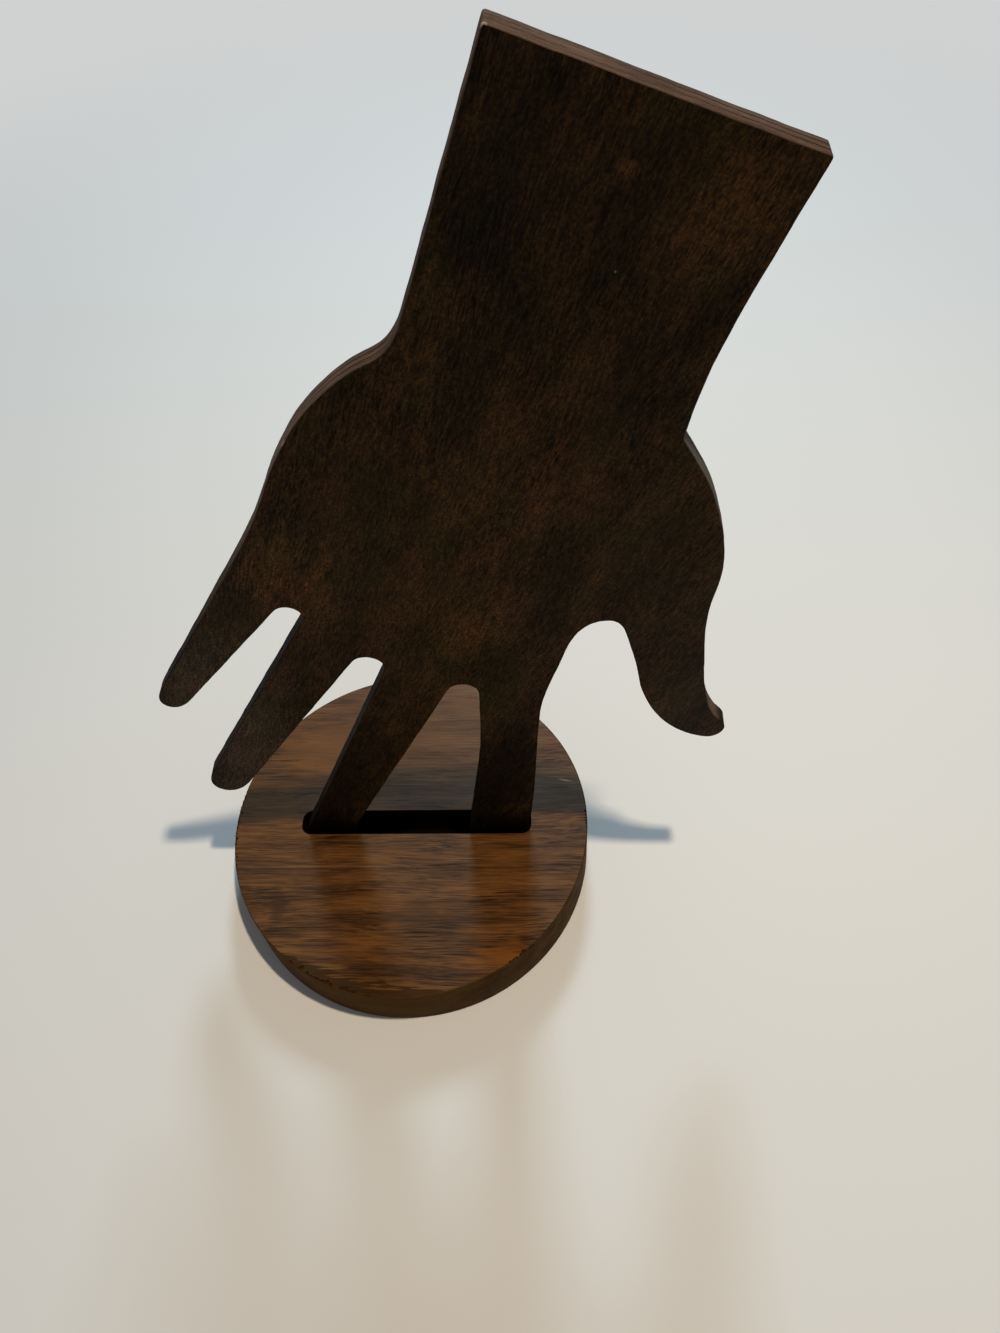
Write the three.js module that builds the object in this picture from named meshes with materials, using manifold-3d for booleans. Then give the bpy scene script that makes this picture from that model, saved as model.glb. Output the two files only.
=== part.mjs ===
// Hand jewelry stand: a flat plywood hand that stands, fingers down, in the slot of a round wooden base.
// Millimetres, +Z up. The origin is the middle of the base's underside. The hand stands in the XZ plane,
// its front face towards -Y and its thumb on the +X side.

import * as THREE from 'three';
import { mergeVertices } from 'three/addons/utils/BufferGeometryUtils.js';
import Module from 'manifold-3d';

// Base: a core board with a face veneer on each side
const BASE_DIAMETER = 120;
const BASE_CORE_THICKNESS = 18.8;
const BASE_VENEER_THICKNESS = 0.6;
const RIM_CHAMFER = 0.4;
const RIM_SEGMENTS = 120;

// Slot in the base for the two longest fingers, with its play past each face and each end of the panel
const SLOT_DEPTH = 12;
const SLOT_FACE_PLAY = 1.8;
const SLOT_LEFT_PLAY = 2.0;
const SLOT_RIGHT_PLAY = 0.7;
const SLOT_CORNER_RADIUS = 3;

// Hand panel: plies glued face to face, named from the front to the back
const PLY_THICKNESS = 1.6;
const PLY_NAMES = ['hand_front_ply', 'hand_core_ply', 'hand_back_ply'];
const CURVE_STEPS = 10;

// The hand is drawn on its panel, with x to the right and h up from the base's top face.
// A bearing is a direction of travel in degrees, clockwise from straight up.

// Forearm: both sides lean towards the thumb, and the end is cut nearly square to them
const FOREARM_LENGTH = 45.8;
const FOREARM_LEAN = 20.4;
const FOREARM_END_WIDTH = 57.9;
const FOREARM_END_SLOPE = 22;
const FOREARM_CORNER_RADIUS = 0.6;
const WRIST_LEFT = { x: 25.4, h: 206.8 };

// Little-finger side of the palm, from the hollow of the wrist downwards
const PALM_SIDE = [
  { x: 16.3, h: 192.1, bearing: 244 },
  { x: -0.6, h: 178.3, bearing: 219 },
  { x: -13.0, h: 157.2, bearing: 205 },
];

// Free fingers: end of the tip, lean of the axis, spread of each side from the axis, and size of the tip
const LITTLE_FINGER = { x: -59.5, h: 76.1, lean: 36.6, spread: 3.5, tipLength: 6.5, tipWidth: 8.6 };
const RING_FINGER = { x: -57.0, h: 27.8, lean: 32.4, spread: 2.0, tipLength: 10, tipWidth: 12.1 };
const LITTLE_OUTER_SIDE = 58;

// Standing fingers: both edges where they enter the base, and the lean of each edge there
const MIDDLE_FINGER = { left: -34.9, right: -19.1, leftLean: 23.2, rightLean: 25.8 };
const INDEX_FINGER = { left: 20.4, right: 40.1, leftLean: 7.3, rightLean: 9 };
const INDEX_INNER_BEND = { x: 28.3, h: 64.1, lean: 2.6 };

// Heights of the centres of the round roots between the fingers
const ROOT_LITTLE_RING = 115.7;
const ROOT_RING_MIDDLE = 93.6;
const ROOT_MIDDLE_INDEX = 80.7;

// Web and thumb, from the index finger round the tip to the ball of the thumb
const THUMB = [
  { x: 45.6, h: 69.0, bearing: 5 },
  { x: 51.1, h: 93.0, bearing: 16.5 },
  { x: 63.6, h: 111.9, bearing: 90 },
  { x: 68.6, h: 104.5, bearing: 165 },
  { x: 72.5, h: 86.0, bearing: 171 },
  { x: 80.3, h: 66.0, bearing: 145 },
  { x: 92.9, h: 57.1, bearing: 101 },
  { x: 98.1, h: 61.6, bearing: 5 },
  { x: 94.5, h: 68.5, bearing: 333 },
  { x: 88.6, h: 99.0, bearing: 354 },
  { x: 87.9, h: 113.0, bearing: 0 },
  { x: 89.5, h: 130.5, bearing: 0 },
  { x: 85.4, h: 153.0, bearing: 342 },
];

// Sharp notch where the ball of the thumb meets the forearm, and the forearm's side above it
const WRIST_NOTCH = { x: 77.0, h: 170.8, bearing: 331 };
const WRIST_RIGHT_LEAN = 7.5;
const WRIST_RIGHT = { x: 81.3, h: 190.6, bearing: 17.3 };

// Stained finishes
const BASE_FACE = { color: 0x5c3c26, roughness: 0.4, metalness: 0 };
const BASE_EDGE = { color: 0x3e2b1a, roughness: 0.6, metalness: 0 };
const HAND_FACE = { color: 0x3a2717, roughness: 0.5, metalness: 0 };
const HAND_EDGE = { color: 0x503e34, roughness: 0.65, metalness: 0 };

// Derived sizes
const baseRadius = BASE_DIAMETER / 2;
const baseThickness = BASE_CORE_THICKNESS + 2 * BASE_VENEER_THICKNESS;
const panelThickness = PLY_THICKNESS * PLY_NAMES.length;
const slotFloor = baseThickness - SLOT_DEPTH;
const slotLeft = MIDDLE_FINGER.left - SLOT_LEFT_PLAY;
const slotRight = INDEX_FINGER.right + SLOT_RIGHT_PLAY;
const slotHalfWidth = panelThickness / 2 + SLOT_FACE_PLAY;

// Exact quarter turn that stands a drawing of the XY plane up in the XZ plane
const STAND_UP = new THREE.Matrix4().set(1, 0, 0, 0, 0, 0, -1, 0, 0, 1, 0, 0, 0, 0, 0, 1);
const WELD_DISTANCE = 1e-4;

const wasm = await Module();
wasm.setup();

function pointOf(knot) {
  return new THREE.Vector2(knot.x, knot.h);
}

function direction(bearing) {
  const angle = THREE.MathUtils.degToRad(bearing);
  return new THREE.Vector2(Math.sin(angle), Math.cos(angle));
}

// Direction to the right of a bearing
function rightOf(bearing) {
  return direction(bearing + 90);
}

function offset(point, along, distance) {
  return point.clone().addScaledVector(along, distance);
}

// An outline drawn anticlockwise, from point to point
class Outline {
  constructor(start) {
    this.shape = new THREE.Shape();
    this.shape.moveTo(start.x, start.y);
    this.at = start;
  }

  lineTo(point) {
    this.shape.lineTo(point.x, point.y);
    this.at = point;
  }

  // A smooth stretch that leaves and arrives on the given bearings, an arc where the two points allow one
  curveTo(point, bearingOut, bearingIn) {
    const turn = THREE.MathUtils.euclideanModulo(bearingIn - bearingOut + 180, 360) - 180;
    const quarter = THREE.MathUtils.degToRad(turn / 4);
    const reach = this.at.distanceTo(point) / (3 * Math.cos(quarter) ** 2);
    const first = offset(this.at, direction(bearingOut), reach);
    const second = offset(point, direction(bearingIn), -reach);
    this.shape.bezierCurveTo(first.x, first.y, second.x, second.y, point.x, point.y);
    this.at = point;
  }

  // Smooth stretches through knots that each carry a bearing
  curveThrough(knots, bearingOut) {
    let bearing = bearingOut;
    for (const knot of knots) {
      this.curveTo(pointOf(knot), bearing, knot.bearing);
      bearing = knot.bearing;
    }
    return bearing;
  }

  // The round tip of a free finger, from its left side to its right side
  fingerTip(finger, sides) {
    const acrossTip = finger.lean + 90;
    this.lineTo(sides.left);
    this.curveTo(pointOf(finger), sides.leftLean + 180, acrossTip);
    this.curveTo(sides.right, acrossTip, sides.rightLean);
  }

  // The square end of a standing finger, straight down to the floor of the slot
  fingerEnd(sides) {
    this.lineTo(new THREE.Vector2(sides.left.x, -SLOT_DEPTH));
    this.lineTo(new THREE.Vector2(sides.right.x, -SLOT_DEPTH));
    this.lineTo(sides.right);
  }

  // The round root between two fingers: an arc that touches the facing sides, with its centre at a height
  fingerRoot(before, after, height) {
    const up = before.rightLean;
    const down = after.leftLean + 180;
    const top = (up + down) / 2;
    const awayFromBefore = rightOf(up);
    const awayFromAfter = rightOf(down);
    const toBefore = (height - before.right.y) * awayFromBefore.y - before.right.x * awayFromBefore.x;
    const toAfter = (height - after.left.y) * awayFromAfter.y - after.left.x * awayFromAfter.x;
    const middle = (toAfter - toBefore) / (awayFromBefore.x - awayFromAfter.x);
    const radius = middle * awayFromBefore.x + toBefore;
    const centre = new THREE.Vector2(middle, height);
    this.lineTo(offset(centre, awayFromBefore, -radius));
    this.curveTo(offset(centre, rightOf(top), -radius), up, top);
    this.curveTo(offset(centre, awayFromAfter, -radius), top, down);
  }
}

// The sides of a free finger, with the points where the round tip begins
function freeFinger(finger) {
  const shoulder = offset(pointOf(finger), direction(finger.lean), finger.tipLength);
  return {
    leftLean: finger.lean - finger.spread,
    rightLean: finger.lean + finger.spread,
    left: offset(shoulder, rightOf(finger.lean), -finger.tipWidth / 2),
    right: offset(shoulder, rightOf(finger.lean), finger.tipWidth / 2),
  };
}

// The sides of a standing finger, with the points where it enters the base
function standingFinger(finger) {
  return {
    leftLean: finger.leftLean,
    rightLean: finger.rightLean,
    left: new THREE.Vector2(finger.left, 0),
    right: new THREE.Vector2(finger.right, 0),
  };
}

// The whole hand, from the left of the wrist down the palm, round the fingers and thumb, and up the forearm
function handShape() {
  const little = freeFinger(LITTLE_FINGER);
  const ring = freeFinger(RING_FINGER);
  const middle = standingFinger(MIDDLE_FINGER);
  const index = standingFinger(INDEX_FINGER);
  const bend = { left: pointOf(INDEX_INNER_BEND), leftLean: INDEX_INNER_BEND.lean };
  const wrist = pointOf(WRIST_LEFT);
  const outline = new Outline(wrist);

  const palmBearing = outline.curveThrough(PALM_SIDE, FOREARM_LEAN + 180);
  const littleFoot = offset(little.left, direction(little.leftLean), LITTLE_OUTER_SIDE);
  outline.curveTo(littleFoot, palmBearing, little.leftLean + 180);

  outline.fingerTip(LITTLE_FINGER, little);
  outline.fingerRoot(little, ring, ROOT_LITTLE_RING);
  outline.fingerTip(RING_FINGER, ring);
  outline.fingerRoot(ring, middle, ROOT_RING_MIDDLE);
  outline.lineTo(middle.left);
  outline.fingerEnd(middle);
  outline.fingerRoot(middle, bend, ROOT_MIDDLE_INDEX);
  outline.lineTo(bend.left);
  outline.curveTo(index.left, bend.leftLean + 180, index.leftLean + 180);
  outline.fingerEnd(index);

  outline.curveThrough([...THUMB, WRIST_NOTCH], index.rightLean);
  outline.curveThrough([WRIST_RIGHT], WRIST_RIGHT_LEAN);

  const up = direction(FOREARM_LEAN);
  const along = rightOf(FOREARM_END_SLOPE);
  const endBearing = FOREARM_END_SLOPE - 90;
  const radius = FOREARM_CORNER_RADIUS;
  const endLeft = offset(wrist, up, FOREARM_LENGTH);
  const endRight = offset(endLeft, along, FOREARM_END_WIDTH);
  outline.curveTo(offset(endRight, up, -radius), WRIST_RIGHT.bearing, FOREARM_LEAN);
  outline.curveTo(offset(endRight, along, -radius), FOREARM_LEAN, endBearing);
  outline.lineTo(offset(endLeft, along, radius));
  outline.curveTo(offset(endLeft, up, -radius), endBearing, FOREARM_LEAN - 180);
  outline.shape.closePath();
  return outline.shape;
}

// The slot's opening, a rectangle with round corners
function slotShape() {
  const r = SLOT_CORNER_RADIUS;
  const y = slotHalfWidth;
  const shape = new THREE.Shape();
  shape.moveTo(slotLeft + r, -y);
  shape.absarc(slotRight - r, -y + r, r, -Math.PI / 2, 0);
  shape.absarc(slotRight - r, y - r, r, 0, Math.PI / 2);
  shape.absarc(slotLeft + r, y - r, r, Math.PI / 2, Math.PI);
  shape.absarc(slotLeft + r, -y + r, r, Math.PI, 1.5 * Math.PI);
  return shape;
}

function extrude(shape, depth) {
  return new THREE.ExtrudeGeometry(shape, { depth, bevelEnabled: false, curveSegments: CURVE_STEPS });
}

// A closed solid of a geometry, with its shared vertices merged and its collapsed triangles left out
function toSolid(geometry) {
  geometry.deleteAttribute('normal');
  geometry.deleteAttribute('uv');
  const merged = mergeVertices(geometry, WELD_DISTANCE);
  const corners = merged.index.array;
  const triangles = [];
  for (let i = 0; i < corners.length; i += 3) {
    const [a, b, c] = corners.slice(i, i + 3);
    if (a !== b && b !== c && c !== a) triangles.push(a, b, c);
  }
  const vertProperties = new Float32Array(merged.attributes.position.array);
  const triVerts = new Uint32Array(triangles);
  return new wasm.Manifold(new wasm.Mesh({ numProp: 3, vertProperties, triVerts }));
}

function toGeometry(solid) {
  const mesh = solid.getMesh();
  const geometry = new THREE.BufferGeometry();
  geometry.setAttribute('position', new THREE.BufferAttribute(mesh.vertProperties, 3));
  geometry.setIndex(new THREE.BufferAttribute(mesh.triVerts, 1));
  geometry.computeVertexNormals();
  return geometry;
}

function namedMesh(name, geometry, finish) {
  const material = new THREE.MeshStandardMaterial({ ...finish, flatShading: true });
  const mesh = new THREE.Mesh(geometry, material);
  mesh.name = name;
  return mesh;
}

// One layer of the base, turned from its half profile, with the slot cut where it reaches the layer
function baseLayer(name, bottom, profile, finish) {
  const points = profile.map(([radius, height]) => new THREE.Vector2(radius, height));
  const disc = new THREE.LatheGeometry(points, RIM_SEGMENTS).applyMatrix4(STAND_UP);
  const cutter = extrude(slotShape(), 2 * SLOT_DEPTH).translate(0, 0, slotFloor - bottom);
  const mesh = namedMesh(name, toGeometry(toSolid(disc).subtract(toSolid(cutter))), finish);
  mesh.position.z = bottom;
  return mesh;
}

function buildBase() {
  const veneer = BASE_VENEER_THICKNESS;
  const core = BASE_CORE_THICKNESS;
  const inner = baseRadius - RIM_CHAMFER;
  const bottomProfile = [[0, 0], [inner, 0], [baseRadius, RIM_CHAMFER], [baseRadius, veneer], [0, veneer]];
  const coreProfile = [[0, 0], [baseRadius, 0], [baseRadius, core], [0, core]];
  const topProfile = [[0, 0], [baseRadius, 0], [baseRadius, veneer - RIM_CHAMFER], [inner, veneer], [0, veneer]];
  const base = new THREE.Group();
  base.add(baseLayer('base_bottom_veneer', 0, bottomProfile, BASE_FACE));
  base.add(baseLayer('base_core', veneer, coreProfile, BASE_EDGE));
  base.add(baseLayer('base_top_veneer', veneer + core, topProfile, BASE_FACE));
  return base;
}

function buildHand() {
  const shape = handShape();
  const hand = new THREE.Group();
  PLY_NAMES.forEach((name, layer) => {
    const ply = toGeometry(toSolid(extrude(shape, PLY_THICKNESS).applyMatrix4(STAND_UP)));
    const inside = layer > 0 && layer < PLY_NAMES.length - 1;
    const mesh = namedMesh(name, ply, inside ? HAND_EDGE : HAND_FACE);
    mesh.position.y = (layer + 1) * PLY_THICKNESS - panelThickness / 2;
    hand.add(mesh);
  });
  hand.position.z = baseThickness;
  return hand;
}

const stand = new THREE.Group();
stand.add(buildBase());
stand.add(buildHand());

export default stand;
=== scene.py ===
"""Looks of the hand jewelry stand: a flat plywood hand that stands, fingers down, in a slotted round base.

Metres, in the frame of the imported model: +X along the slot, +Y away from the hand's front face, +Z up.
"""

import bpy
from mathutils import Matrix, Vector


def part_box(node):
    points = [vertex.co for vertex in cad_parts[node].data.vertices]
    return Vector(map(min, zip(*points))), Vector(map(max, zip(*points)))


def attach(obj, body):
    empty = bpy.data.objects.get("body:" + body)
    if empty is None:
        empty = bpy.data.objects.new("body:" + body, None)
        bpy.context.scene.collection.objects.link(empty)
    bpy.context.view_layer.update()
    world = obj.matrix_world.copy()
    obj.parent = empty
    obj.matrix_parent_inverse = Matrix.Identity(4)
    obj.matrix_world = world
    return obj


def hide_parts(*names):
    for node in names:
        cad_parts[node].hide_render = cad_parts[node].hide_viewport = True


bl_info = {
    "name": "Hand jewelry stand",
    "version": (1, 0, 0),
    "blender": (4, 5, 0),
    "location": "View3D > Sidebar > Hand stand",
    "description": "Builds the plies of the hand, the layers of the base and the stage around them",
    "category": "Object",
}

import math

import bmesh
import bpy
from bpy.props import FloatProperty, FloatVectorProperty, IntProperty, PointerProperty
from mathutils import Matrix, Vector

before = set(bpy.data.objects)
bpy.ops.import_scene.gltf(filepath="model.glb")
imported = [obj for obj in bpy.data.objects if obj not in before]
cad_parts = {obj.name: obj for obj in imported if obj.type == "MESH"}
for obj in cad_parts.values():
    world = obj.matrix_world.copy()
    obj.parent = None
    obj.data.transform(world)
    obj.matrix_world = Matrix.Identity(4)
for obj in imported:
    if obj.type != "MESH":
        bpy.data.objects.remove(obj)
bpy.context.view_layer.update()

MM = 0.001
MERGE_DISTANCE = 1e-6
BOX_TOLERANCE = 2e-5
ORIGIN = (0.0, 0.0, 0.0)
WHITE = (1.0, 1.0, 1.0)
BLACK = (0.0, 0.0, 0.0)

# Plies of the hand: piece, CAD node, material slot, whether the front and the back arris are outer ones, and
# the name and tint of the sawn edge
PLIES = (
    ("hand_ply_front", "hand_front_ply", "hand_face", True, False, "sawn_front_ply", (1.0, 0.94, 0.88)),
    ("hand_ply_core", "hand_core_ply", "hand_edge", False, False, "sawn_core_ply", (1.12, 1.06, 1.0)),
    ("hand_ply_back", "hand_back_ply", "hand_face", False, True, "sawn_back_ply", (0.95, 1.0, 1.06)),
)

# The slot as it is in the CAD model, and the height of its floor
SLOT = {"Slot Middle": 1.95 * MM, "Slot Length": 77.7 * MM, "Slot Width": 8.4 * MM, "Slot Corner": 3.0 * MM}
SLOT_FLOOR = 8.0 * MM

# Lean of the grain on the hand, in degrees clockwise from straight up
HAND_GRAIN_LEAN = 21.0

# The camera of the photograph: place, heading, tilt and roll in degrees, and focal length in pixels
CAMERA_PLACE = (50.994 * MM, -161.630 * MM, 335.199 * MM)
CAMERA_HEADING = -5.527
CAMERA_TILT = 54.21
CAMERA_ROLL = -5.283
FOCAL_PIXELS = 1036.06
IMAGE_HEIGHT = 1333
SENSOR_HEIGHT = 36.0
NEAR_CLIP = 0.01

IN_METRES = {"unit": "LENGTH", "precision": 5}
AS_COLOUR = {"subtype": "COLOR", "size": 3}


class HandSettings(bpy.types.PropertyGroup):
    """Sizes and colours of the hand"""

    arris_radius: FloatProperty(
        name="Arris radius", description="Rounding of the panel's outer edges",
        default=0.22 * MM, **IN_METRES)
    joint_radius: FloatProperty(
        name="Joint radius", description="Tiny rounding beside the glue lines",
        default=0.10 * MM, **IN_METRES)
    point_spacing: FloatProperty(
        name="Point spacing", description="Distance between points along the sawn outline",
        default=0.32 * MM, **IN_METRES)
    saw_wander: FloatProperty(
        name="Saw wander", description="How far the saw wanders inside the drawn line",
        default=0.15 * MM, **IN_METRES)
    wander_length: FloatProperty(
        name="Wander length", description="Length of one wander of the saw", default=9.0 * MM, **IN_METRES)
    wander_seed: IntProperty(name="Wander seed", description="Which wander the saw makes", default=4)
    stain_light: FloatVectorProperty(
        name="Light stain", description="Lighter colour of the stained faces",
        default=(0.051, 0.0262, 0.0080), **AS_COLOUR)
    stain_dark: FloatVectorProperty(
        name="Dark stain", description="Darker colour of the stained faces",
        default=(0.0034, 0.0020, 0.0006), **AS_COLOUR)
    edge_light: FloatVectorProperty(
        name="Light edge", description="Lighter colour of the sawn edges",
        default=(0.088, 0.060, 0.047), **AS_COLOUR)
    edge_dark: FloatVectorProperty(
        name="Dark edge", description="Darker colour of the sawn edges",
        default=(0.030, 0.019, 0.014), **AS_COLOUR)
    glue_tone: FloatVectorProperty(
        name="Glue line", description="Colour of the glue lines between the plies",
        default=(0.010, 0.0058, 0.0036), **AS_COLOUR)


class BaseSettings(bpy.types.PropertyGroup):
    """Sizes and colours of the base"""

    rim_radius: FloatProperty(
        name="Rim radius", description="Rounding of the rims and of the slot's mouth",
        default=0.32 * MM, **IN_METRES)
    joint_radius: FloatProperty(
        name="Joint radius", description="Tiny rounding where a veneer meets the core",
        default=0.05 * MM, **IN_METRES)
    rim_points: IntProperty(name="Rim points", description="Points around the rim", default=1080)
    chip_depth: FloatProperty(
        name="Chip depth", description="How far the rim's chips reach in", default=2.6 * MM, **IN_METRES)
    chip_seed: IntProperty(name="Chip seed", description="Which chips the rim has", default=7)
    face_light: FloatVectorProperty(
        name="Light face", description="Lighter colour of the top veneer",
        default=(0.162, 0.0668, 0.0165), **AS_COLOUR)
    face_dark: FloatVectorProperty(
        name="Dark face", description="Darker colour of the top veneer",
        default=(0.0100, 0.0036, 0.0009), **AS_COLOUR)
    edge_light: FloatVectorProperty(
        name="Light rim", description="Lighter colour of the stained rim",
        default=(0.074, 0.0365, 0.0108), **AS_COLOUR)
    edge_dark: FloatVectorProperty(
        name="Dark rim", description="Darker colour of the stained rim",
        default=(0.030, 0.0146, 0.0044), **AS_COLOUR)


class StageSettings(bpy.types.PropertyGroup):
    """Floor and light"""

    floor_tone: FloatVectorProperty(
        name="Floor", description="Colour of the plain floor", default=(0.70, 0.703, 0.72), **AS_COLOUR)
    far_tone: FloatVectorProperty(
        name="Far floor", description="Colour of the floor out to the horizon",
        default=(0.63, 0.64, 0.64), **AS_COLOUR)
    floor_size: FloatProperty(
        name="Floor size", description="Width of the floor", default=40.0, unit="LENGTH")
    lamp_power: FloatProperty(
        name="Overhead lamp", description="Power of the lamp above the stand", default=4.4, unit="POWER")
    window_power: FloatProperty(
        name="Window", description="Power of the soft light behind the stand", default=4.4, unit="POWER")
    wall_strength: FloatProperty(
        name="Walls", description="Strength of the pale walls all round", default=0.55)
    ceiling_strength: FloatProperty(
        name="Ceiling", description="Strength of the dim ceiling", default=0.06)


class Bench:
    """Places and links the nodes of one tree.

    Named values with a capital are a node's sockets, with _ for a space. The others are its settings.
    """

    COLUMN = 190
    MIX_SOCKETS = {"FLOAT": (2, 3, 0), "RGBA": (6, 7, 2)}

    def __init__(self, tree):
        self.tree = tree

    def add(self, kind, *values, **named):
        node = self.tree.nodes.new(kind)
        node.location = (self.COLUMN * len(self.tree.nodes), 0)
        for name, value in named.items():
            if name[0].islower():
                setattr(node, name, value)
        sockets = {name.replace("_", " "): value for name, value in named.items() if name[0].isupper()}
        for key, value in (*enumerate(values), *sockets.items()):
            self.feed(node.inputs[key], value)
        return node

    def out(self, kind, *values, **named):
        """The first output of a new node."""
        return self.add(kind, *values, **named).outputs[0]

    def geo(self, kind, *values, **named):
        """The first output of a new geometry node."""
        return self.out("GeometryNode" + kind, *values, **named)

    def group(self, build, **inputs):
        """The outputs of a shared node group."""
        tree = build()
        return self.add(tree.bl_idname.replace("Tree", "Group"), node_tree=tree, **inputs).outputs

    def feed(self, socket, value):
        if isinstance(value, bpy.types.NodeSocket):
            self.tree.links.new(value, socket)
        elif socket.type == "RGBA":
            socket.default_value = (*value, 1.0)
        else:
            socket.default_value = value

    def math(self, operation, *values, clamp=False):
        return self.out("ShaderNodeMath", *values, operation=operation, use_clamp=clamp)

    def plus(self, first, second, clamp=False):
        return self.math("ADD", first, second, clamp=clamp)

    def minus(self, first, second):
        return self.math("SUBTRACT", first, second)

    def times(self, first, second, clamp=False):
        return self.math("MULTIPLY", first, second, clamp=clamp)

    def over(self, first, second):
        return self.math("DIVIDE", first, second)

    def vector(self, operation, first, second):
        return self.out("ShaderNodeVectorMath", first, second, operation=operation)

    def scaled(self, vector, factor):
        return self.out("ShaderNodeVectorMath", vector, Scale=factor, operation="SCALE")

    def length(self, vector):
        return self.add("ShaderNodeVectorMath", vector, operation="LENGTH").outputs["Value"]

    def combine(self, **parts):
        return self.out("ShaderNodeCombineXYZ", **parts)

    def split(self, vector):
        return self.add("ShaderNodeSeparateXYZ", vector).outputs

    def ramp(self, value, low, high, at_low=0.0, at_high=1.0):
        """A smooth step from one value to another."""
        return self.out(
            "ShaderNodeMapRange", Value=value, From_Min=low, From_Max=high, To_Min=at_low, To_Max=at_high,
            interpolation_type="SMOOTHSTEP")

    def noise(self, vector, scale=1.0, detail=2.0, roughness=0.5):
        return self.out("ShaderNodeTexNoise", Vector=vector, Scale=scale, Detail=detail, Roughness=roughness)

    def mix(self, share, first, second, blend="MIX", kind="RGBA"):
        """Goes over from one colour or value to another."""
        node = self.add("ShaderNodeMix", share, data_type=kind, blend_type=blend)
        low, high, result = self.MIX_SOCKETS[kind]
        self.feed(node.inputs[low], first)
        self.feed(node.inputs[high], second)
        return node.outputs[result]

    def tinted(self, colour, factor):
        return self.mix(1.0, colour, factor, "MULTIPLY")


GEOMETRY_TREE = "GeometryNodeTree"
SHADER_TREE = "ShaderNodeTree"
SHAPE = "NodeSocketGeometry"
FINISH = "NodeSocketMaterial"
COLOUR = "NodeSocketColor"
POINT = "NodeSocketVector"
VALUE = "NodeSocketFloat"
SOCKET_OF = {float: VALUE, int: "NodeSocketInt", bool: "NodeSocketBool"}


def node_group(kind, inputs, outputs):
    """Makes a function that lays out nodes into one that gives their group, built once under its name.

    Each input is given by its default, or by its socket type where it has none.
    """
    def with_sockets(lay_out):
        def build():
            name = lay_out.__name__
            if name in bpy.data.node_groups:
                return bpy.data.node_groups[name]
            tree = bpy.data.node_groups.new(name, kind)
            for label, given in inputs.items():
                socket_type = SOCKET_OF.get(type(given), given)
                socket = tree.interface.new_socket(label, in_out="INPUT", socket_type=socket_type)
                if type(given) in SOCKET_OF:
                    socket.default_value = given
            for label, socket_type in outputs.items():
                tree.interface.new_socket(label, in_out="OUTPUT", socket_type=socket_type)
            bench = Bench(tree)
            bench.add("NodeGroupOutput", *lay_out(bench, bench.add("NodeGroupInput").outputs))
            return tree
        return build
    return with_sockets


def passed(given, labels):
    return {label: given[label] for label in labels}


# Geometry node groups

ARC_POINTS = 5
WORN_RADIUS = 0.45 * MM


def mesh_field(bench, name, data_type="FLOAT"):
    return bench.geo("InputNamedAttribute", Name=name, data_type=data_type)


def stored(bench, shape, name, value, data_type="FLOAT", domain="POINT"):
    return bench.geo(
        "StoreNamedAttribute", Geometry=shape, Name=name, Value=value, data_type=data_type, domain=domain)


def with_outward(bench, curve):
    """Keeps the direction out of the wood on each point of a flat outline."""
    curve = bench.geo("SetCurveNormal", Curve=curve, mode="Z_UP")
    return stored(bench, curve, "outward", bench.geo("InputNormal"), "FLOAT_VECTOR")


def set_in(bench, shape, distance):
    """Moves points into the wood, against the stored outward direction."""
    move = bench.scaled(mesh_field(bench, "outward", "FLOAT_VECTOR"), bench.times(distance, -1.0))
    return bench.geo("SetPosition", Geometry=shape, Offset=move)


def moved(bench, shape, **offset):
    return bench.geo("Transform", Geometry=shape, Translation=bench.combine(**offset))


def joined(bench, *shapes):
    node = bench.add("GeometryNodeJoinGeometry")
    for shape in shapes:
        bench.tree.links.new(shape, node.inputs[0])
    return node.outputs[0]


def finished(bench, shape, given):
    """Closes the seams and gives the faces and the cut edges their materials."""
    merged = bench.geo("MergeByDistance", Geometry=shape, Distance=MERGE_DISTANCE)
    real = bench.geo("RealizeInstances", Geometry=merged)
    faces = bench.geo("SetMaterial", Geometry=real, Material=given["Face Finish"])
    edge = mesh_field(bench, "cut_edge", "BOOLEAN")
    return bench.geo("SetMaterial", Geometry=faces, Selection=edge, Material=given["Edge Finish"])


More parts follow.
